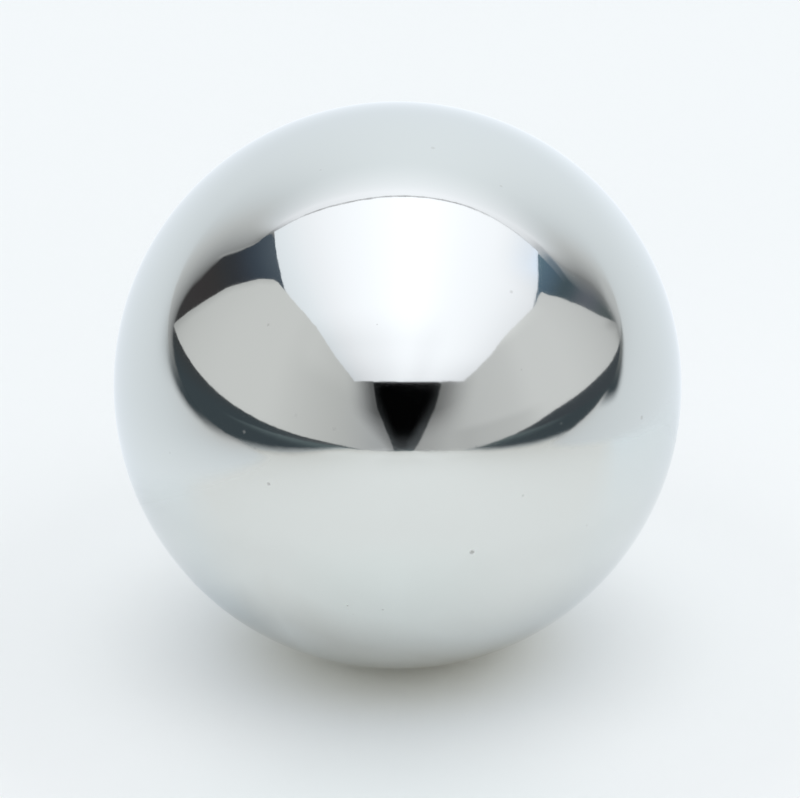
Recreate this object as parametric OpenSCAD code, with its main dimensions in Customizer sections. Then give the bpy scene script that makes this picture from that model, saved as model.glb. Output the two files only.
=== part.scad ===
// Steel ball: one solid sphere, lapped and polished all over.
// Lengths are in millimetres. The origin is the centre of the ball, with +Z up.

/* [Ball] */
// Diameter of the finished ball
ball_d = 25.4; // [3:0.1:100]

/* [Hidden] */
// Sides of the preview's circles
$fn = 180;

// The ball is true to one diameter, with no pole, seam, flat or hole.
module ball() {
    color([0.78, 0.80, 0.78])
        sphere(d = ball_d);
}

ball();
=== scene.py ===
"""A polished steel ball on a pale floor, among the softbox and the boards that show in its polish."""

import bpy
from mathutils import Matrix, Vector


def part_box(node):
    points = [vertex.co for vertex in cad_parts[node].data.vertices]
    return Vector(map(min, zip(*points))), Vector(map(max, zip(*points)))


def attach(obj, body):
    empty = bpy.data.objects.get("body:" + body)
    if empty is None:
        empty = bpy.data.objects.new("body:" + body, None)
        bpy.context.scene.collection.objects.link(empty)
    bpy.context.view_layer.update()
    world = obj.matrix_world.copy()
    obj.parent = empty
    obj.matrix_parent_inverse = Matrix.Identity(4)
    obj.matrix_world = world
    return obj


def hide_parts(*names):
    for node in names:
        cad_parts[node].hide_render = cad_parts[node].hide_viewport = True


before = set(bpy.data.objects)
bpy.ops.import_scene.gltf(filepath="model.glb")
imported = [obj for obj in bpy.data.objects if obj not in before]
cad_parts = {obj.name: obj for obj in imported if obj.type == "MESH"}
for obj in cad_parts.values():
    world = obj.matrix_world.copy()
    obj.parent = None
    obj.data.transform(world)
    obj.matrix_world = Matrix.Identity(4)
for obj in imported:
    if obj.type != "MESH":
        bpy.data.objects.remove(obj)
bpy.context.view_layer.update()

import math

import bpy
import numpy as np

MM = 0.001

# The ball's own size: it is centred on the frame's origin and touches the floor at its lowest point.
LOW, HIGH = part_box("ball")
RADIUS = float(HIGH[2])
FLOOR_Z = float(LOW[2])

# Camera: it looks down on the ball from a hand's length away, through a long lens.
CAMERA_ELEVATION = math.radians(24)
CAMERA_DISTANCE = 16 * RADIUS
SENSOR_WIDTH = 36
FRAME_WIDTH_PX = 800
FRAME_HEIGHT_PX = 798
BALL_RADIUS_PX = 284
BALL_CENTRE_PX = (397.6, 385.2)

# Light that reaches the open floor: as daylight from all round, and from the lamp overhead.
DAYLIGHT = 0.81
LAMP_SHARE = 0.26

# Size of that lamp and the place of its middle, in metres.
LAMP_WIDTH = 3.2
LAMP_DEPTH = 2.4
LAMP_CENTRE = (0.6, 0.0, 1.4)


# ---------------------------------------------------------------- curves and grids


def ease(values, low, high):
    """Smooth step: 0 below low, 1 above high, and 3t^2 - 2t^3 in between."""
    t = np.clip((values - low) / (high - low), 0, 1)
    return t * t * (3 - 2 * t)


def bell(values, middle, width):
    """Bell curve: 1 at the middle, falling as e^-((value - middle) / width)^2 to both sides."""
    return np.exp(-(((values - middle) / width) ** 2))


def blend(first, second, share):
    """Mix of two tones: first where share is 0, second where it is 1."""
    share = np.asarray(share)[..., None]
    return np.asarray(first) * (1 - share) + np.asarray(second) * share


def smooth_through(places, knots, values, slopes):
    """Cubic pieces through values at rising knots, with given slopes, read off at each of the places.

    Beyond the first and the last knot the curve is level.
    """
    places = np.clip(places, knots[0], knots[-1])
    piece = np.clip(np.searchsorted(knots, places, side="right") - 1, 0, len(knots) - 2)
    width = np.diff(knots)[piece]
    t = (places - knots[piece]) / width
    if values.ndim > 1:
        t, width = t[..., None], width[..., None]
    start = (2 * t**3 - 3 * t**2 + 1) * values[piece] + (t**3 - 2 * t**2 + t) * width * slopes[piece]
    end = (3 * t**2 - 2 * t**3) * values[piece + 1] + (t**3 - t**2) * width * slopes[piece + 1]
    return start + end


def value_along(places, stops):
    """Value at each place, from (place, value) stops joined by a smooth curve that never overshoots.

    The slope at a stop is the harmonic mean of the slopes on its two sides, or 0 where they differ
    in sign. A value is a number or a tone.
    """
    knots, values = (np.array(part, float) for part in zip(*stops))
    rise = (np.diff(values, axis=0).T / np.diff(knots)).T
    before, after = rise[:-1], rise[1:]
    onward = before * after > 0
    inner = np.where(onward, 2 * before * after / np.where(onward, before + after, 1), 0)
    return smooth_through(places, knots, values, np.concatenate([rise[:1], inner, rise[-1:]]))


def curve_through(points, count):
    """Smooth curve through a few points, at count even steps of its length.

    The length is that of the straight steps between the points. The slope at a point is that of
    the parabola through it and its neighbours, and at an end that of the straight step.
    """
    points = np.asarray(points, float)
    steps = np.linalg.norm(np.diff(points, axis=0), axis=1)
    knots = np.concatenate([[0], np.cumsum(steps)])
    slopes = np.gradient(points, knots, axis=0)
    return smooth_through(np.linspace(0, knots[-1], count), knots, points, slopes)


def patch(bottom, top, left, right, across=200, up=160):
    """Flat grid between four edge curves that meet at the corners.

    The point at shares (s, t) is the mix of bottom and top by t, plus the mix of left and right
    by s, less the mix of the four corners. bottom and top run left to right, and the others up.
    """
    s = np.linspace(0, 1, across)[None, :, None]
    t = np.linspace(0, 1, up)[:, None, None]
    low = curve_through(bottom, across)[None]
    high = curve_through(top, across)[None]
    near = curve_through(left, up)[:, None]
    far = curve_through(right, up)[:, None]
    corners = (1 - t) * ((1 - s) * low[:, :1] + s * low[:, -1:])
    corners = corners + t * ((1 - s) * high[:, :1] + s * high[:, -1:])
    return (1 - t) * low + t * high + (1 - s) * near + s * far - corners


def band(middle, width, columns=400):
    """Flat grid of five rows along a curve: its middle line, and the rest aside by shares of the width."""
    line = curve_through(middle, columns)
    along = np.gradient(line, axis=0)
    along /= np.linalg.norm(along, axis=1)[:, None]
    aside = np.stack([-along[:, 1], along[:, 0]], axis=-1)
    shares = np.linspace(-0.5, 0.5, 5)[:, None, None]
    return line + shares * width * aside


def quads_between(number):
    """Corners of one quad between each four neighbours in a grid of point numbers."""
    corners = (number[:-1, :-1], number[:-1, 1:], number[1:, 1:], number[1:, :-1])
    return np.stack(corners, axis=-1).reshape(-1, 4)


def scene_object(name, data):
    """New object in the scene that shows a mesh, a lamp or a camera."""
    made = bpy.data.objects.new(name, data)
    bpy.context.scene.collection.objects.link(made)
    return made


def smooth_object(name, points, faces):
    """Smooth mesh object from points and the corners of its faces."""
    mesh = bpy.data.meshes.new(name)
    mesh.from_pydata(points.tolist(), [], faces.tolist())
    mesh.shade_smooth()
    return scene_object(name, mesh)


def grid_object(name, points, closed=False):
    """Smooth mesh object over a grid of points. closed joins the last column to the first one."""
    rows, columns = points.shape[:2]
    number = np.arange(rows * columns).reshape(rows, columns)
    if closed:
        number = np.concatenate([number, number[:, :1]], axis=1)
    return smooth_object(name, points.reshape(-1, 3), quads_between(number))


# ---------------------------------------------------------------- ball

# Quads along each side of the six square grids.
BALL_STEPS = 120

# Room left round each grid in its tile of the ball's map, as a share of the tile's side.
MAP_MARGIN = 0.01

# Points whose directions agree to this many digits are merged.
MERGE_DIGITS = 7


def ball_surface():
    """Directions, faces and map of the ball, as six square grids laid over a sphere.

    On the cube face with normal n and sides a and b, the point at angles u and v, each from -45
    to 45 degrees, is the direction n + a tan u + b tan v, brought to unit length. Even angles
    keep the squares nearly equal, and the sphere has no pole. Points that two faces share are
    merged, so the surface is closed. The map lays the grids side by side in two rows of three.
    """
    tangent = np.tan(np.linspace(-math.pi / 4, math.pi / 4, BALL_STEPS + 1))
    u, v = np.meshgrid(tangent, tangent)
    share = np.linspace(MAP_MARGIN, 1 - MAP_MARGIN, BALL_STEPS + 1)
    square = np.stack(np.meshgrid(share, share), axis=-1)
    quads = quads_between(np.arange(u.size).reshape(u.shape))
    sides = np.eye(3)
    directions, faces, maps = [], [], []
    for tile in range(6):
        row, axis = divmod(tile, 3)
        sign = 1 - 2 * row
        normal = sides[axis] * sign
        across = sides[(axis + 1) % 3] * sign
        up = sides[(axis + 2) % 3]
        directions.append(normal + u[..., None] * across + v[..., None] * up)
        faces.append(quads + tile * u.size)
        maps.append((square + [axis, row]) / [3, 2])
    points = np.concatenate(directions).reshape(-1, 3)
    points /= np.linalg.norm(points, axis=1)[:, None]
    faces = np.concatenate(faces)
    corner_map = np.concatenate(maps).reshape(-1, 2)[faces.ravel()]
    merged, back = np.unique(np.round(points, MERGE_DIGITS), axis=0, return_inverse=True)
    merged /= np.linalg.norm(merged, axis=1)[:, None]
    return merged, back.ravel()[faces], corner_map


def make_ball():
    """The ball: one closed sphere of the frame's radius, smooth to its exact normals."""
    directions, faces, corner_map = ball_surface()
    made = smooth_object("polished_ball", directions * RADIUS, faces)
    layer = made.data.uv_layers.new(name="OFBake")
    layer.data.foreach_set("uv", corner_map.astype(np.float32).ravel())
    made.data.normals_split_custom_set_from_vertices(directions.tolist())
    return made


# ---------------------------------------------------------------- material nodes


def new_material(name):
    """Empty node material, its tree and its output node."""
    material = bpy.data.materials.new(name)
    material.use_nodes = True
    tree = material.node_tree
    tree.nodes.clear()
    return material, tree, tree.nodes.new("ShaderNodeOutputMaterial")


def node(tree, kind, inputs=None, **settings):
    """New node: settings are its properties, and inputs are values or sockets for its inputs."""
    made = tree.nodes.new("ShaderNode" + kind)
    for name, value in settings.items():
        setattr(made, name, value)
    for key, value in (inputs or {}).items():
        if isinstance(value, bpy.types.NodeSocket):
            tree.links.new(value, made.inputs[key])
        else:
            made.inputs[key].default_value = value
    return made


def ramp(tree, value, start, end, first, last):
    """Value carried from start..end to first..last, smoothly and no further."""
    inputs = {"Value": value, 1: start, 2: end, 3: first, 4: last}
    return node(tree, "MapRange", inputs, interpolation_type="SMOOTHSTEP").outputs["Result"]


def combine(tree, operation, first, second):
    """Result of an arithmetic operation on two values."""
    return node(tree, "Math", {0: first, 1: second}, operation=operation).outputs[0]


def add_share(tree, base, share, value):
    """Base plus share times value."""
    return node(tree, "Math", {0: value, 1: share, 2: base}, operation="MULTIPLY_ADD").outputs[0]


def measure(tree, operation, first, second):
    """Distance or dot product of two places."""
    return node(tree, "VectorMath", {0: first, 1: second}, operation=operation).outputs["Value"]


def stretch(tree, place, factors):
    """Place with each of its coordinates times its own factor."""
    return node(tree, "VectorMath", {0: place, 1: factors}, operation="MULTIPLY").outputs["Vector"]


def noise(tree, inputs, dimensions="3D"):
    """Value of a noise, about 0.5 on average."""
    return node(tree, "TexNoise", inputs, noise_dimensions=dimensions).outputs["Fac"]


def mix_colours(tree, share, first, second):
    """Mix of two colours, each a socket or red, green and blue: first at share 0, second at 1."""
    inputs = {0: share}
    for key, colour in ((6, first), (7, second)):
        inputs[key] = (*colour, 1) if isinstance(colour, tuple) else colour
    return node(tree, "Mix", inputs, data_type="RGBA").outputs[2]


# ---------------------------------------------------------------- steel

# Steel: how much of each colour it sends back, straight on, and its share of that near the rim.
STEEL = (0.78, 0.80, 0.78)
STEEL_RIM = (0.93, 0.94, 0.96)

# Roughness of the steel where it is clearest and haziest, and what a lapping mark and dust add to it.
CLEAR_ROUGHNESS = 0.035
HAZY_ROUGHNESS = 0.065
MARK_ROUGHNESS = 0.02
DUST_ROUGHNESS = 0.6

# Height of the ripple in the polish, in metres, and how many times as high a mark and dust stand.
RIPPLE_HEIGHT = 0.0006 * MM
MARK_HEIGHT = -0.1
DUST_HEIGHT = 5.0

# Dust: its colour, and how far a grain of the finer, scattered dust covers the steel.
DUST_COLOUR = (0.16, 0.15, 0.13)
FINE_DUST_COVER = 0.22

# The clearer grains: where each one sits, seen from the centre, its width in millimetres and its cover.
DUST = [
    ((0.25, -0.95, -0.19), 0.22, 0.50),
    ((0.25, -0.96, -0.16), 0.10, 0.40),
    ((-0.51, -0.83, 0.20), 0.18, 0.35),
    ((0.83, -0.54, 0.12), 0.20, 0.35),
    ((-0.43, -0.90, 0.04), 0.16, 0.40),
    ((-0.43, -0.72, 0.54), 0.15, 0.35),
    ((-0.21, -0.94, 0.26), 0.18, 0.25),
    ((-0.17, -0.96, 0.21), 0.08, 0.55),
    ((-0.17, -0.89, -0.42), 0.12, 0.35),
    ((0.12, -0.20, 0.97), 0.20, 0.18),
    ((0.38, -0.67, 0.64), 0.16, 0.20),
    ((-0.34, -0.90, 0.29), 0.20, 0.15),
    ((0.82, -0.19, 0.53), 0.14, 0.20),
    ((0.42, -0.91, 0.00), 0.14, 0.20),
    ((-0.77, -0.63, 0.03), 0.14, 0.20),
    ((0.55, -0.81, 0.22), 0.14, 0.12),
    ((0.35, -0.32, 0.88), 0.14, 0.20),
    ((-0.26, -0.28, 0.92), 0.14, 0.15),
    ((0.26, -0.94, 0.20), 0.12, 0.25),
    ((-0.15, -0.87, -0.46), 0.12, 0.15),
    ((-0.05, -0.90, -0.43), 0.12, 0.15),
    ((0.64, -0.74, -0.19), 0.12, 0.15),
]

# Directions of the axes that the lapping marks run round.
LAPPING_AXES = [(0.8, 0.1, 0.6), (-0.5, 0.7, 0.5), (0.2, -0.6, 0.77), (-0.9, -0.3, 0.3)]


def dust_cover(tree, place):
    """How far dust covers the steel: the grains listed above, and finer ones scattered all over.

    A grain's cover falls from its full value at 0.3 of its half width to nothing at 1.4 of it.
    """
    scattered = node(tree, "TexVoronoi", {"Vector": place, "Scale": 450.0})
    cover = ramp(tree, scattered.outputs["Distance"], 0.008, 0.018, FINE_DUST_COVER, 0.0)
    for direction, width, full in DUST:
        middle = tuple(RADIUS * part for part in direction)
        away = measure(tree, "DISTANCE", place, middle)
        half = width * MM / 2
        grain = ramp(tree, away, 0.3 * half, 1.4 * half, full, 0.0)
        cover = combine(tree, "MAXIMUM", cover, grain)
    return cover


def lapping_marks(tree, place):
    """Fine arcs left by lapping: thin rings about four axes, each broken up by a slow noise.

    A ring is where a noise along its axis crosses its middle value.
    """
    marks = None
    for number, axis in enumerate(LAPPING_AXES):
        along = measure(tree, "DOT_PRODUCT", place, axis)
        rings = noise(tree, {"W": along, "Scale": 1600.0 + 150 * number, "Detail": 2.0}, "1D")
        from_middle = combine(tree, "SUBTRACT", rings, 0.5)
        off_middle = node(tree, "Math", {0: from_middle}, operation="ABSOLUTE").outputs[0]
        thin = ramp(tree, off_middle, 0.0, 0.009, 1.0, 0.0)
        slow = {"Vector": place, "W": 3.0 * number, "Scale": 170.0, "Detail": 1.0}
        broken = ramp(tree, noise(tree, slow, "4D"), 0.54, 0.70, 0.0, 1.0)
        arcs = combine(tree, "MULTIPLY", thin, broken)
        marks = arcs if marks is None else combine(tree, "MAXIMUM", marks, arcs)
    return marks


def polished_steel():
    """Lapped and polished steel: a mirror with a trace of haze, lapping marks and grains of dust.

    Haze and marks add a little roughness, and dust adds much, takes the metal's place and stands
    up from it.
    """
    material, tree, output = new_material("polished_steel")
    place = node(tree, "TexCoord").outputs["Object"]
    dust = dust_cover(tree, place)
    marks = lapping_marks(tree, place)
    slow = noise(tree, {"Vector": place, "Scale": 110.0, "Detail": 3.0})
    darker = tuple(0.985 * part for part in STEEL)
    clean = mix_colours(tree, slow, darker, STEEL)
    dusty = mix_colours(tree, dust, clean, DUST_COLOUR)
    haze = ramp(tree, slow, 0.35, 0.75, CLEAR_ROUGHNESS, HAZY_ROUGHNESS)
    worked = add_share(tree, haze, MARK_ROUGHNESS, marks)
    roughness = add_share(tree, worked, DUST_ROUGHNESS, dust)
    metal = combine(tree, "SUBTRACT", 1.0, dust)
    ripple = noise(tree, {"Vector": place, "Scale": 2500.0, "Detail": 2.0})
    marked = add_share(tree, ripple, MARK_HEIGHT, marks)
    height = add_share(tree, marked, DUST_HEIGHT, dust)
    bump = node(tree, "Bump", {"Height": height, "Strength": 1.0, "Distance": RIPPLE_HEIGHT})
    inputs = {
        "Base Color": dusty,
        "Metallic": metal,
        "Roughness": roughness,
        "Specular Tint": (*STEEL_RIM, 1),
        "Normal": bump.outputs["Normal"],
    }
    steel = node(tree, "BsdfPrincipled", inputs)
    tree.links.new(steel.outputs["BSDF"], output.inputs["Surface"])
    return material


# ---------------------------------------------------------------- floor, light and camera

# Paper: its colour right under the ball and in a ring round that, both painted light, further out, far
# behind the ball with painted shade, and in a spot in front of it with a painted shadow.
PAPER_PAINTED_LIGHT_UNDER = (0.995, 0.985, 0.93)
PAPER_PAINTED_LIGHT_RING = (0.945, 0.976, 0.995)
PAPER_AROUND = (0.874, 0.902, 0.92)
PAPER_PAINTED_SHADE_BEHIND = (0.846, 0.879, 0.897)
PAPER_PAINTED_SHADOW_SPOT = (0.87, 0.915, 0.93)

# How a place is narrowed before its distance from the painted shadow spot is taken, which makes the
# spot wider than deep, and the spot's middle after that.
SHADOW_SPOT_NARROWING = (0.75, 1, 0)
SHADOW_SPOT_MIDDLE = (-0.4 * MM, -17 * MM, 0)

# The way in which painted shade makes the paper darker: to the rear and a little to the left.
PAINTED_SHADE_REARWARD = (-0.35, 1, 0)


def floor_paper_and_painted_light():
    """Matt pale paper: warm right under the ball, cool in a ring round it, a little darker beyond.

    The warm colour under the ball and the cool ring are painted light that lifts the ball's shadow.
    Painted shade makes the paper darkest far behind the ball, and a painted shadow makes an oval spot in
    front of the ball darker than the ring. Each colour gives way to the next with the distance from the
    ball's foot, from the spot's middle or to the rear.
    """
    material, tree, output = new_material("floor_paper_and_painted_light")
    place = node(tree, "TexCoord").outputs["Object"]
    flat = stretch(tree, place, (1, 1, 0))
    from_foot = measure(tree, "DISTANCE", flat, (0, 0, 0))
    rearward = measure(tree, "DOT_PRODUCT", place, PAINTED_SHADE_REARWARD)
    narrowed = stretch(tree, place, SHADOW_SPOT_NARROWING)
    from_painted_shadow_spot = measure(tree, "DISTANCE", narrowed, SHADOW_SPOT_MIDDLE)
    # Painted light under the ball and in a ring round it, painted shade to the rear, and a painted shadow
    # in the spot.
    to_painted_light_ring = ramp(tree, from_foot, 3 * MM, 9.5 * MM, 0.0, 1.0)
    to_open = ramp(tree, from_foot, 13 * MM, 21 * MM, 0.0, 1.0)
    to_painted_shadow_spot = ramp(tree, from_painted_shadow_spot, 2 * MM, 11 * MM, 1.0, 0.0)
    to_painted_rear_shade = ramp(tree, rearward, 0.0, 50 * MM, 0.0, 1.0)
    near = mix_colours(tree, to_painted_light_ring, PAPER_PAINTED_LIGHT_UNDER, PAPER_PAINTED_LIGHT_RING)
    far = mix_colours(tree, to_painted_rear_shade, PAPER_AROUND, PAPER_PAINTED_SHADE_BEHIND)
    plain = mix_colours(tree, to_open, near, far)
    with_painted_shadow = mix_colours(tree, to_painted_shadow_spot, plain, PAPER_PAINTED_SHADOW_SPOT)
    paper = node(tree, "BsdfDiffuse", {"Color": with_painted_shadow})
    tree.links.new(paper.outputs["BSDF"], output.inputs["Surface"])
    return material


def floor_and_cove():
    """Pale floor that curves up into a low wall all round.

    The profile is level out to the bend, a quarter circle, and then upright. It is turned about
    the ball's upright axis.
    """
    flat_radius = 700 * MM
    bend = 120 * MM
    wall = 260 * MM
    rings = np.array([0, 20, 60, 150, 300, 500]) * MM
    arc = np.linspace(0, math.pi / 2, 17)
    out = np.concatenate([rings, flat_radius + bend * np.sin(arc), [flat_radius + bend]])[:, None]
    height = np.concatenate([0 * rings, bend * (1 - np.cos(arc)), [wall]])[:, None]
    turn = np.linspace(0, 2 * math.pi, 128, endpoint=False)
    x = out * np.sin(turn)
    y = -out * np.cos(turn)
    z = np.broadcast_to(FLOOR_Z + height, x.shape)
    made = grid_object("floor", np.stack([x, y, z], axis=-1), closed=True)
    made.data.materials.append(floor_paper_and_painted_light())


def soft_daylight():
    """Even white light from all round."""
    world = bpy.data.worlds.new("soft_daylight")
    world.use_nodes = True
    light = world.node_tree.nodes["Background"]
    light.inputs["Color"].default_value = (1, 1, 1, 1)
    light.inputs["Strength"].default_value = DAYLIGHT
    bpy.context.scene.world = world


def lamp_watts():
    """Power at which the lamp, level and facing down, lights the floor under the ball to LAMP_SHARE.

    A part of the lamp at height h and distance r from that floor point fills h^2 / (pi r^4) of its
    view for each unit of area. The lamp's glow is its power over pi and over its area.
    """
    parts = 200
    steps = (np.arange(parts) + 0.5) / parts - 0.5
    x = LAMP_CENTRE[0] + LAMP_WIDTH * steps[:, None]
    y = LAMP_CENTRE[1] + LAMP_DEPTH * steps[None, :]
    height = LAMP_CENTRE[2] - FLOOR_Z
    area = LAMP_WIDTH * LAMP_DEPTH
    filled = area * np.mean(height**2 / (x**2 + y**2 + height**2) ** 2) / math.pi
    return LAMP_SHARE * math.pi * area / filled


def overhead_lamp():
    """Large soft lamp high above the ball."""
    lamp = bpy.data.lights.new("overhead_lamp", "AREA")
    lamp.shape = "RECTANGLE"
    lamp.size = LAMP_WIDTH
    lamp.size_y = LAMP_DEPTH
    lamp.energy = lamp_watts()
    made = scene_object("overhead_lamp", lamp)
    made.location = LAMP_CENTRE
    made.visible_camera = False
    made.visible_glossy = False


def make_camera():
    """Long lens aimed at the ball's centre, with the shift that the framing needs.

    A ball of radius r at distance d shows as a circle of r / sqrt(d^2 - r^2) focal lengths.
    """
    lens = bpy.data.cameras.new("camera")
    lens.sensor_width = SENSOR_WIDTH
    distance_in_radii = CAMERA_DISTANCE / RADIUS
    focal_px = BALL_RADIUS_PX * math.sqrt(distance_in_radii**2 - 1)
    lens.lens = focal_px * SENSOR_WIDTH / FRAME_WIDTH_PX
    lens.shift_x = (FRAME_WIDTH_PX / 2 - BALL_CENTRE_PX[0]) / FRAME_WIDTH_PX
    lens.shift_y = (BALL_CENTRE_PX[1] - FRAME_HEIGHT_PX / 2) / FRAME_WIDTH_PX
    lens.clip_start = 0.001
    lens.clip_end = 10
    camera = scene_object("camera", lens)
    ahead = CAMERA_DISTANCE * math.cos(CAMERA_ELEVATION)
    camera.location = (0, -ahead, CAMERA_DISTANCE * math.sin(CAMERA_ELEVATION))
    camera.rotation_euler = (math.pi / 2 - CAMERA_ELEVATION, 0, 0)
    bpy.context.scene.camera = camera


# ---------------------------------------------------------------- cards that the polish mirrors

# From here to the assembly, sizes are in millimetres from the ball's centre and tones are linear light.

# Bluish black of what no lamp reaches.
UNLIT = (0.05, 0.065, 0.075)


# Painted reflections: the cards are no lamps and light nothing. Each glows, in mirrors only, with the
# painted light and shade of the softbox and its piping, a board, the sweep, the table or the room.
def card_glow():
    """What a card sends into the polish: its tone where its cover is 1, and nothing where it is 0."""
    material, tree, output = new_material("card_glow")
    tone = node(tree, "Attribute", attribute_name="tone").outputs["Color"]
    cover = node(tree, "Attribute", attribute_name="cover").outputs["Fac"]
    glow = node(tree, "Emission", {"Color": tone}).outputs["Emission"]
    clear = node(tree, "BsdfTransparent").outputs["BSDF"]
    shown = node(tree, "MixShader", {0: cover, 1: clear, 2: glow}).outputs["Shader"]
    tree.links.new(shown, output.inputs["Surface"])
    material.cycles.emission_sampling = "NONE"
    return material


def card(name, points, tone, cover=1.0, closed=False):
    """Painted reflection: glowing surface that only mirrors see, with a tone and a cover for each point."""
    made = grid_object(name, points * MM, closed)
    shape = points.shape[:2]
    tones = np.ones((*shape, 4), np.float32)
    tones[..., :3] = tone
    layer = made.data.attributes.new("tone", "FLOAT_COLOR", "POINT")
    layer.data.foreach_set("color", tones.ravel())
    covers = np.broadcast_to(cover, shape).astype(np.float32)
    layer = made.data.attributes.new("cover", "FLOAT", "POINT")
    layer.data.foreach_set("value", covers.ravel())
    made.data.materials.append(CARD_GLOW)
    made.visible_camera = False
    made.visible_diffuse = False
    made.visible_transmission = False
    made.visible_volume_scatter = False
    made.visible_shadow = False


def level(flat, height):
    """Places a flat outline level at a height."""
    return np.concatenate([flat, np.full((*flat.shape[:2], 1), height)], axis=-1)


def upright(flat, start, end):
    """Places a flat outline on the upright plane through start that runs towards end."""
    start = np.array(start, float)
    along = np.array(end, float) - start
    along /= np.linalg.norm(along)
    ground = start + flat[..., :1] * along
    return np.concatenate([ground, flat[..., 1:]], axis=-1)


def shade_from(outline, flat, shade, reach):
    """Share of light left near an outline: 1 less shade at it, and 1 from reach millimetres away on."""
    edge = curve_through(outline, 50)
    away = np.linalg.norm(flat[:, :, None] - edge, axis=-1).min(axis=-1)
    return 1 - shade * (1 - ease(away, 0, reach))


# ---------------------------------------------------------------- softbox

# The softbox hangs level at this height. Its outline is (x, y), and its tone goes by x.
SOFTBOX_HEIGHT = 105
SOFTBOX_REAR = [
    (-85, 25), (-72, 23.8), (-58, 22.4), (-46, 21.1), (-30, 19.5), (0, 19.6), (20, 20.4), (50, 21.4),
    (70, 20.7), (96, 19.7), (108.5, 19.6),
]
SOFTBOX_FRONT = [(-76, -222), (126, -222)]
SOFTBOX_LEFT = [
    (-76, -222), (-84, -160), (-86, -103), (-84.5, -80), (-89, -63), (-93.5, -47), (-95, -37),
    (-94, -31), (-92, -20), (-89, 0), (-86.5, 16), (-85, 25),
]
SOFTBOX_RIGHT = [
    (126, -222), (131, -150), (133, -100), (136, -66), (137, -46), (134.8, -36), (131.8, -29),
    (126.8, -17), (119.4, -3), (112.5, 9.5), (108.5, 19.6),
]
SOFTBOX_TONE = [
    (-95, 0.88), (-80, 0.94), (-60, 1.05), (-40, 1.15), (-20, 1.22), (12, 1.32), (40, 1.22),
    (80, 1.13), (120, 1.0), (135, 0.95),
]

# Its tints: in the middle, to the left, to the right at the rear, and in the corner there.
SOFTBOX_TINT = (1, 1.015, 1.075)
SOFTBOX_TINT_LEFT = (1, 1.05, 1.12)
SOFTBOX_TINT_RIGHT = (1, 1.06, 1.18)
SOFTBOX_TINT_CORNER = (1, 1.1, 1.28)

PIPING_WIDTH = 1.7
PIPING_DROP = 0.4
PIPING_TONE = (0.42, 0.42, 0.44)


def overhead_softbox():
    """Softbox over the ball: brightest along its middle, bluish to the sides, dimmer to the front."""
    flat = patch(SOFTBOX_FRONT, SOFTBOX_REAR, SOFTBOX_LEFT, SOFTBOX_RIGHT)
    x, y = flat[..., 0], flat[..., 1]
    rear_right = ease(y, -40, 10) * ease(x, 60, 100)
    front_left = ease(-y, 70, 130) * (1 - ease(x, 20, 60))
    front = ease(-y, 130, 222)
    light = value_along(x, SOFTBOX_TONE) - 0.13 * rear_right - 0.12 * front_left - 0.12 * front
    tint = blend(SOFTBOX_TINT, SOFTBOX_TINT_LEFT, ease(-x, 50, 85))
    tint = blend(tint, SOFTBOX_TINT_RIGHT, ease(x, 70, 105) * ease(y, -30, 0))
    tint = blend(tint, SOFTBOX_TINT_CORNER, ease(x, 98, 112) * ease(y, -12, 4))
    card("overhead_softbox", level(flat, SOFTBOX_HEIGHT), light[..., None] * tint)


def softbox_piping():
    """Thin grey piping along the rear edge of the softbox, uneven as a hem is."""
    flat = band(SOFTBOX_REAR, PIPING_WIDTH)
    x = flat[..., 0]
    uneven = 0.8 + 0.2 * np.sin(x / 2.3) * np.sin(x / 5.1 + 1)
    middle = ease(x, -62, -52) * ease(-x, -60, -42)
    across = np.array([0, 1, 1, 1, 0])[:, None]
    cover = uneven * (0.5 + 0.5 * middle) * across
    card("softbox_piping", level(flat, SOFTBOX_HEIGHT - PIPING_DROP), PIPING_TONE, cover)


# ---------------------------------------------------------------- boards

# Each board is upright over a line on the ground. Its outline is (u, z), with u along that line towards
# the board's inner edge, and its tone, painted light on a white board, goes by u. Its painted shade is
# the share of light lost at the inner edge, at each height, and the reach is how far from there the
# shade ends.
LEFT_BOARD_LINE = [(-108, -19), (-13, -280)]
LEFT_BOARD_BOTTOM = [(-65, 20), (-33, 16), (37, 7), (71, 4), (127, 1), (187, -4), (299.5, -7)]
LEFT_BOARD_TOP = [
    (2.5, 109), (8, 110.5), (14, 110.6), (26, 110), (50, 108.3), (68, 106.7), (77, 105), (85, 102),
    (93, 99.6), (107, 94.5), (121, 90), (138, 85.5), (154, 80.4), (157, 79.5), (160, 80.8),
    (174, 87.3), (204, 100.7),
]
LEFT_BOARD_REAR = [
    (-65, 20), (-51, 36), (-38, 54), (-28, 72), (-15, 89.5), (-9, 98.6), (-2, 105), (2.5, 109),
]
LEFT_BOARD_INNER = [
    (299.5, -7), (288.5, 2), (267.7, 20.5), (250, 37), (234, 51.6), (223.5, 61), (212, 80.5),
    (204, 100.7),
]
LEFT_BOARD_TONE = [
    (-60, 0.50), (-40, 0.61), (-20, 0.66), (20, 0.705), (50, 0.71), (80, 0.65), (100, 0.61),
    (140, 0.55), (180, 0.50), (220, 0.46), (300, 0.42),
]
LEFT_BOARD_TINT = (0.99, 1, 1)
LEFT_BOARD_TINT_INNER = (0.98, 1, 1.03)
LEFT_BOARD_SHADE = [(0, 0.30), (20, 0.46), (36, 0.56), (52, 0.76)]
LEFT_BOARD_SHADE_REACH = [(0, 30), (20, 50), (40, 72)]

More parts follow.
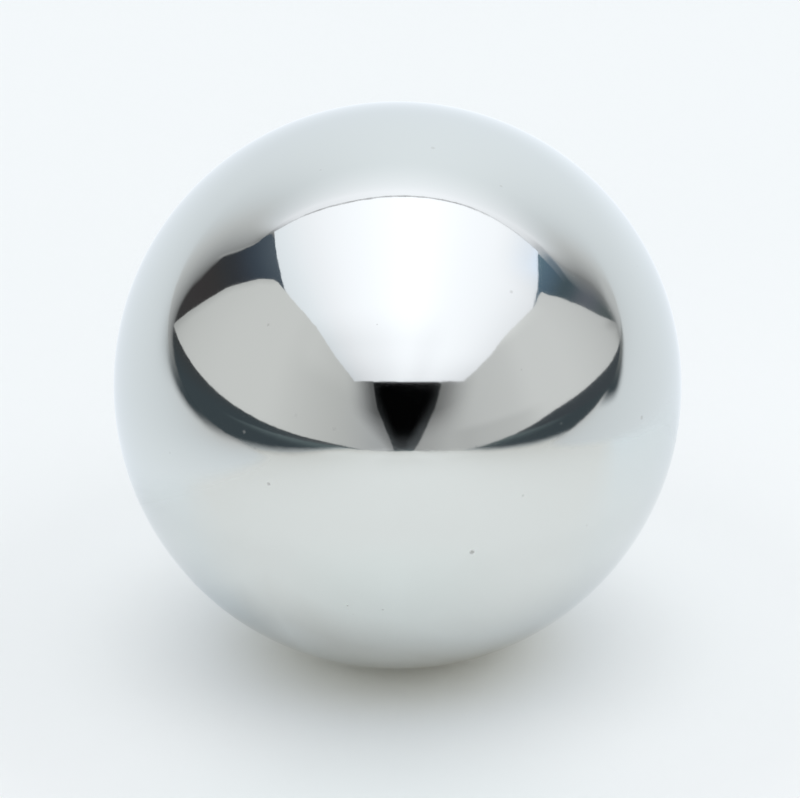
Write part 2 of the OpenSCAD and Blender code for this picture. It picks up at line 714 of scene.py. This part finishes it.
RIGHT_BOARD_LINE = [(122, -20), (13, -280)]
RIGHT_BOARD_BOTTOM = [
    (-63, 18), (-47, 14), (0, 10), (44, 6.6), (69, 1.8), (94, -1.8), (124, -5.4), (144, -6.1),
    (179, -6.3), (214, -6.2), (250, -6),
]
RIGHT_BOARD_TOP = [
    (-2.6, 94.8), (1, 94.7), (6, 93.6), (12.5, 90.3), (17, 88.8), (22.5, 88.1), (38.5, 86.7),
    (57, 84.5), (66, 82.8), (74, 80.2), (80, 77.6), (94, 74), (111, 70.1), (126, 67.1),
    (129, 66.6), (132, 67.7), (146, 74), (166, 82.8),
]
RIGHT_BOARD_REAR = [
    (-63, 18), (-67.5, 21.5), (-69, 25), (-65, 29), (-58, 34), (-48, 41.5), (-38.5, 50.5),
    (-31, 59.6), (-23, 68.2), (-16, 77.3), (-10.6, 83.3), (-4.6, 90.3), (-2.6, 94.8),
]
RIGHT_BOARD_INNER = [
    (250, -6), (233.2, 4.4), (221.2, 16.3), (210, 27), (198.5, 39.8), (187, 50.2), (176, 66.5),
    (166, 82.8),
]
RIGHT_BOARD_TONE = [
    (-60, 0.51), (-40, 0.60), (-20, 0.65), (0, 0.69), (25, 0.72), (50, 0.72), (80, 0.65),
    (120, 0.60), (160, 0.52), (200, 0.455), (240, 0.42),
]
RIGHT_BOARD_TINT = (0.99, 1, 1.01)
RIGHT_BOARD_SHADE = [(8, 0.05), (20, 0.17), (36, 0.42), (48, 0.60)]
RIGHT_BOARD_SHADE_REACH = 65


def left_board():
    """White board, front left: painted lighter high up and at its inner foot, shaded along its edges."""
    flat = patch(LEFT_BOARD_BOTTOM, LEFT_BOARD_TOP, LEFT_BOARD_REAR, LEFT_BOARD_INNER)
    u, z = flat[..., 0], flat[..., 1]
    high_up = ease(u, 60, 90) * ease(z, 50, 80)
    inner_foot = ease(u, 190, 230) * ease(-z, 0, 5)
    light = value_along(u, LEFT_BOARD_TONE) + 0.05 * high_up + 0.08 * inner_foot
    shade = value_along(z, LEFT_BOARD_SHADE)
    reach = value_along(z, LEFT_BOARD_SHADE_REACH)
    light = light * shade_from(LEFT_BOARD_INNER, flat, shade, reach)
    light = light * shade_from(LEFT_BOARD_REAR, flat, 0.14, 9)
    tint = blend(LEFT_BOARD_TINT, LEFT_BOARD_TINT_INNER, ease(u, 120, 220))
    card("left_board", upright(flat, *LEFT_BOARD_LINE), light[..., None] * tint)


def right_board():
    """White board, front right: painted lighter high up, dimmer along its foot, shaded along its edges."""
    flat = patch(RIGHT_BOARD_BOTTOM, RIGHT_BOARD_TOP, RIGHT_BOARD_REAR, RIGHT_BOARD_INNER)
    u, z = flat[..., 0], flat[..., 1]
    foot = ease(u, 40, 70) * (1 - ease(u, 125, 165)) * (1 - ease(z, 12, 20))
    high_up = ease(u, 0, 70) * ease(z, 74, 88)
    light = value_along(u, RIGHT_BOARD_TONE) - 0.07 * foot + 0.12 * high_up
    shade = value_along(z, RIGHT_BOARD_SHADE)
    light = light * shade_from(RIGHT_BOARD_INNER, flat, shade, RIGHT_BOARD_SHADE_REACH)
    low_rear_shade = 0.25 * (1 - ease(z, 30, 38))
    light = light * shade_from(RIGHT_BOARD_REAR, flat, low_rear_shade, 13)
    card("right_board", upright(flat, *RIGHT_BOARD_LINE), light[..., None] * np.array(RIGHT_BOARD_TINT))


# ---------------------------------------------------------------- paper sweep

# Profiles (y, z) of the sweep: in its middle it turns up just behind the ball, and at its sides it
# lifts off the floor further forward.
SWEEP_MIDDLE = [
    (18, -12.6), (22, -12.4), (27, -10), (30, -2), (31, 15), (30, 40), (26, 62), (20, 83), (21.5, 97),
    (22.5, 104), (21, 107), (15, 109),
]
SWEEP_SIDES = [
    (-60, -12.6), (-45, -11), (-25, -7), (-5, -1), (14, 7), (25, 15), (30, 30), (30, 45), (22, 75),
    (23, 90), (26, 102), (25, 106.5), (18, 109),
]

# Across the sweep: where its tone is lowest on the left, highest, and lowest on the right, and the width
# of the strip of painted shade along each edge.
SWEEP_LEFT = -84
SWEEP_BRIGHTEST = 6
SWEEP_RIGHT = 109
SWEEP_EDGE = 24

# Its tints: where it is dim, where it is bright, and at its top.
SWEEP_TINT_DIM = (0.98, 1, 1.02)
SWEEP_TINT_BRIGHT = (0.945, 1.0, 1.05)
SWEEP_TINT_TOP = (0.985, 1.0, 1.06)

# Tone of the shade under its lifted edges, from 9 mm above the ball's centre upwards.
LIFT_SHADE_TONE = (0.19, 0.20, 0.20)

# Where the sheet starts on the left and has faded out on the right, at each height.
SHEET_START = [
    (40, -84), (50, -83.5), (58, -84), (66, -84.6), (74, -84.8), (80, -86.6), (86, -88.8), (94, -89),
    (104, -89.2),
]
SHEET_END = [
    (8, 114), (20, 122), (30, 127), (38, 132), (50, 139), (62, 145), (80, 152), (92, 163), (104, 178),
]

# Where it begins to fade on the right, at any height.
SHEET_FADE = 105

# Width over which its left edge starts, at each height.
EDGE_WIDTH = [(8, 17), (15, 14), (22, 9), (32, 9), (42, 13), (49, 10), (56, 1.5)]

# Lower bound of the shade under the sweep's left edge: height at each distance left of the middle.
LIFT_SHADE_FOOT = [(42, 3), (48, -0.5), (54, -3), (60, -4.8), (72, -6.7), (84, -8)]


def sweep_surface(rows=200, columns=281):
    """Places x, y and z of the sweep.

    Each column is a mix of the two profiles. The share of the side one rises from 0 at 15 mm from
    the line x = 12 to 1 at 80 mm from it.
    """
    x = np.linspace(-100, 180, columns)
    share = ease(np.abs(x - 12), 15, 80)[:, None]
    middle = curve_through(SWEEP_MIDDLE, rows)[:, None]
    sides = curve_through(SWEEP_SIDES, rows)[:, None]
    profile = middle * (1 - share) + sides * share
    y, z = profile[..., 0], profile[..., 1]
    return np.broadcast_to(x, z.shape), y, z


def sweep_tone(x, peak, loss, power, edge):
    """Tone across the sweep: peak less loss times share^power, where share runs from 0 to 1 at an edge.

    Within SWEEP_EDGE of the left edge painted shade also lowers it by edge times the square of what is
    left of that width, and at the right edge by half as much.
    """
    x = np.clip(x, SWEEP_LEFT, SWEEP_RIGHT)
    from_left = x - SWEEP_LEFT
    from_right = SWEEP_RIGHT - x
    half = np.where(x < SWEEP_BRIGHTEST, SWEEP_BRIGHTEST - SWEEP_LEFT, SWEEP_RIGHT - SWEEP_BRIGHTEST)
    share = np.abs(x - SWEEP_BRIGHTEST) / half
    left_fall = np.clip(1 - from_left / SWEEP_EDGE, 0, 1) ** 2
    right_fall = np.clip(1 - from_right / SWEEP_EDGE, 0, 1) ** 2
    return peak - loss * share**power - edge * (left_fall + 0.5 * right_fall)


def sweep_painted_light(x, z):
    """Painted light on the sweep: its tone is a mix of three, at its foot, half way up and at its top."""
    on_left = x < SWEEP_BRIGHTEST
    foot = sweep_tone(x, 0.93, np.where(on_left, 0.30, 0.40), 1.4, 0.20)
    half_way = sweep_tone(x, 0.95, 0.70, 1.75, 0.0)
    top = sweep_tone(x, 1.16, 0.30, 1.4, 0.38)
    off_foot = np.where(on_left, ease(z, -13, -5), ease(z, -4, 12))
    beside = 1 - ease(np.minimum(x - SWEEP_LEFT, SWEEP_RIGHT - x), 0, 30)
    top_left = ease(z, 54 + 30 * beside, 96 + 8 * beside) * ease(x, -90, -80)
    top_right = ease(z, 54 + beside, 96 + 20 * beside)
    on_top = np.where(on_left, top_left, top_right)
    light = foot + (half_way - foot) * off_foot + (top - half_way) * on_top
    low_middle = bell(x, 3, 30) * (1 - ease(z, 2, 20))
    right_side = ease(x, 75, 95) * ease(z, 8, 16) * (1 - ease(z, 30, 40))
    light = light + 0.14 * low_middle + 0.10 * right_side
    tint = blend(SWEEP_TINT_DIM, SWEEP_TINT_BRIGHT, ease(light, 0.55, 0.8))
    tint = blend(tint, SWEEP_TINT_TOP, on_top)
    return light[..., None] * tint


def lift_shade(x, z):
    """Share of shade under the sweep's lifted edges: a wedge on the left, and a short step on the right."""
    foot = value_along(-x, LIFT_SHADE_FOOT)
    left = ease(-x, 34, 50) * (1 - ease(z, -2, 15)) * ease(z, foot - 4, foot + 4)
    right = ease(x, 60, 66) * (1 - ease(z, 10, 17)) * ease(z, -4.5, 0)
    return np.maximum(left, right)


def sheet_cover(x, z):
    """How far the sheet covers what is behind it.

    It starts softly in its first rows and at its left edge. On the right it fades as (1 - share)^1.3,
    where share runs from 0 at SHEET_FADE to 1 at SHEET_END, and its top right corner is thinner.
    """
    along = np.linspace(0, 1, len(z))[:, None]
    start = value_along(z, SHEET_START)
    soft = value_along(z, EDGE_WIDTH)
    faded = np.clip((x - SHEET_FADE) / (value_along(z, SHEET_END) - SHEET_FADE), 0, 1)
    top_right = ease(x, 112, 134) * ease(z, 98, 106)
    cover = ease(along, 0, 0.06) * ease(x, start - soft, start + 1) * (1 - faded) ** 1.3
    return cover * (1 - 0.65 * top_right)


def paper_sweep():
    """White paper that curls up behind the ball to the softbox.

    It has painted shade under its lifted edges. On the left a painted highlight runs along its cut
    edge, and on the right it stands a little higher off the floor and turns away into the dark.
    """
    x, y, z = sweep_surface()
    dark = blend(UNLIT, LIFT_SHADE_TONE, ease(z, 0, 9))
    tone = blend(sweep_painted_light(x, z), dark, lift_shade(x, z))
    # Painted highlight: a thin bright line along the sheet's cut edge on the left.
    from_start = x - value_along(z, SHEET_START)
    cut_edge_highlight = bell(from_start, 1.5, 1.2) * ease(z, 46, 56) * (1 - ease(z, 92, 100))
    tone = tone + 0.09 * cut_edge_highlight[..., None]
    raised = 1.2 * ease(x, 60, 105) * ease(z, -12, -9) * (1 - ease(z, -4, 2))
    card("paper_sweep", np.stack([x, y, z + raised], axis=-1), tone, sheet_cover(x, z))


# ---------------------------------------------------------------- table and room

# The table's grid: how far it reaches, its squares and its place above the floor.
TABLE_REACH = 612
TABLE_SQUARE = 4.0
TABLE_ABOVE_FLOOR = 0.05

# The paper that lies flat on it: its side edges beside the ball, and the stretch over which it ends
# in front.
FLAT_LEFT = -87
FLAT_RIGHT = 108
FLAT_END = (395, 447)

# Tones: the table far in front, and the shade on the paper, warm in front of the ball and cool beside it.
TABLE_FAR = (0.11, 0.14, 0.15)
SHADE_WARM = (0.14, 0.09, 0.02)
SHADE_COOL = (0.15, 0.42, 0.65)

ROOM_RADIUS = 600

# Tone of the room at each height in degrees: to the left, to the right, and in the opening straight
# ahead, in its middle and how much is added at its sides.
LEFT_GAP = [
    (0, UNLIT),
    (9, (0.05, 0.05, 0.052)),
    (24, (0.045, 0.042, 0.044)),
    (33, (0.04, 0.044, 0.052)),
    (40, (0.05, 0.064, 0.085)),
    (48, (0.09, 0.115, 0.145)),
]
RIGHT_GAP = [
    (0, (0.055, 0.065, 0.075)),
    (6, (0.06, 0.07, 0.08)),
    (14, (0.10, 0.12, 0.126)),
    (22, (0.128, 0.14, 0.165)),
    (30, (0.07, 0.10, 0.12)),
    (37, (0.10, 0.155, 0.21)),
    (42, (0.14, 0.22, 0.28)),
]
OPENING = [(-1, 0.08), (0, 0.052), (2.5, 0.026), (5, 0.004), (8, 0.001), (20, 0.001)]
OPENING_SIDE = [(0, 0.04), (6, 0.058), (12, 0.026), (20, 0.018)]
OPENING_TINT = (0.92, 1, 1.08)

# The middle of the opening, in degrees to the right of straight ahead.
OPENING_MIDDLE = 3.2


def beyond_paper(x, y):
    """Share of bare table: 0 well inside the paper's side edges and 1 well outside them.

    The left edge runs outwards in front. The right one does so too, and also towards the rear. Both
    grow softer in front.
    """
    left = FLAT_LEFT - 0.21 * np.maximum(0, -y - 90)
    right = FLAT_RIGHT + 0.25 * np.maximum(0, y + 85) + 0.09 * np.maximum(0, -y - 150)
    soft = 24 + 0.065 * np.maximum(0, -y - 140)
    return ease(np.maximum(left - x, x - right), -soft, soft)


def paper_shade(x, y):
    """Shares of shade on the paper: to its sides, and the sum of those in front and round the ball."""
    off_middle = np.abs(x - 5)
    from_ball = np.hypot(x, y)
    from_foot = np.hypot(x + 2.6, y + 1)
    to_side = 0.30 * ease(off_middle, 5, 110) * (1 - 0.6 * ease(-y, 60, 200))
    in_front = 0.085 * ease(-y, 60, 160) * (1 - 0.6 * ease(off_middle, 10, 35))
    far_in_front = 0.13 * ease(-y, 180, 400)
    round_ball = 0.06 * ease(from_ball, 13, 30)
    foot_ring = 0.22 * ease(from_foot, 3, 6) * (1 - ease(from_foot, 5, 11))
    foot_front = 0.045 * ease(-y, 0, 5) * (1 - ease(from_ball, 15, 24)) * ease(np.abs(x), 2, 6)
    return to_side, in_front + far_in_front + round_ball + foot_ring + foot_front


def dark_table():
    """Dark table beyond the paper's soft edges, and the shade on the paper itself.

    The paper is left uncovered by the product of three shares: inside its side edges, out of the
    shade to its sides, and out of the shade in front and round the ball. It ends far in front.
    """
    steps = np.arange(-TABLE_REACH, TABLE_REACH + TABLE_SQUARE, TABLE_SQUARE)
    x, y = np.meshgrid(steps, steps)
    to_side, rest = paper_shade(x, y)
    cover = 1 - (1 - beyond_paper(x, y)) * (1 - to_side) * (1 - rest)
    cover = np.maximum(cover, ease(-y, *FLAT_END))
    table = blend(UNLIT, TABLE_FAR, ease(-y, 130, 330))
    shade = blend(SHADE_WARM, SHADE_COOL, ease(np.abs(x - 2), 6, 18) * ease(y, -12, -2))
    tone = blend(shade, table, ease(cover, 0.3, 0.6))
    flat = np.stack([x, y], axis=-1)
    card("dark_table", level(flat, FLOOR_Z / MM + TABLE_ABOVE_FLOOR), tone, cover)


def front_opening(turned, height):
    """Tone straight ahead, at places turned and lifted by so many degrees: a dark core, lighter beside.

    The core reaches to the right by 0.6 of the height less 1.8 degrees, and to the left by 0.4 of
    the height plus 1.5 degrees. Both stop growing at a height of 20 degrees. Beside the core light
    comes in over 4.5 degrees more, and the left gets three quarters of what the right gets.
    """
    off_middle = turned - OPENING_MIDDLE
    on_right = off_middle > 0
    rise = np.clip(height, 0, 20)
    core = np.where(on_right, 0.6 * rise - 1.8, 1.5 + 0.4 * rise)
    to_side = ease(np.abs(off_middle), core, core + 4.5) * np.where(on_right, 1, 0.75)
    light = value_along(height, OPENING) + value_along(height, OPENING_SIDE) * to_side
    return light[..., None] * np.array(OPENING_TINT)


def dark_room():
    """Unlit room all round, as a dome: nearly black in front, bluish grey at the sides.

    It has a column for each degree of turn and a row for each half degree of lift.
    """
    turned, lifted = np.meshgrid(np.arange(-180.0, 180.0), np.arange(-2.0, 90.0, 0.5))
    turn, lift = np.radians(turned), np.radians(lifted)
    x = ROOM_RADIUS * np.cos(lift) * np.sin(turn)
    y = -ROOM_RADIUS * np.cos(lift) * np.cos(turn)
    z = ROOM_RADIUS * np.sin(lift)
    left = value_along(lifted, LEFT_GAP)
    right = value_along(lifted, RIGHT_GAP)
    sides = blend(left, right, ease(turned, -40, 40))
    tone = blend(front_opening(turned, lifted), sides, ease(np.abs(turned), 20, 60))
    card("dark_room", np.stack([x, y, z], axis=-1), tone, closed=True)


# ---------------------------------------------------------------- assembly

bpy.context.scene.view_settings.view_transform = "Standard"
make_camera()
soft_daylight()
overhead_lamp()

ball = make_ball()
ball.data.materials.append(polished_steel())
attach(ball, "root")
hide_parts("ball")

floor_and_cove()
CARD_GLOW = card_glow()
overhead_softbox()
softbox_piping()
left_board()
right_board()
paper_sweep()
dark_table()
dark_room()
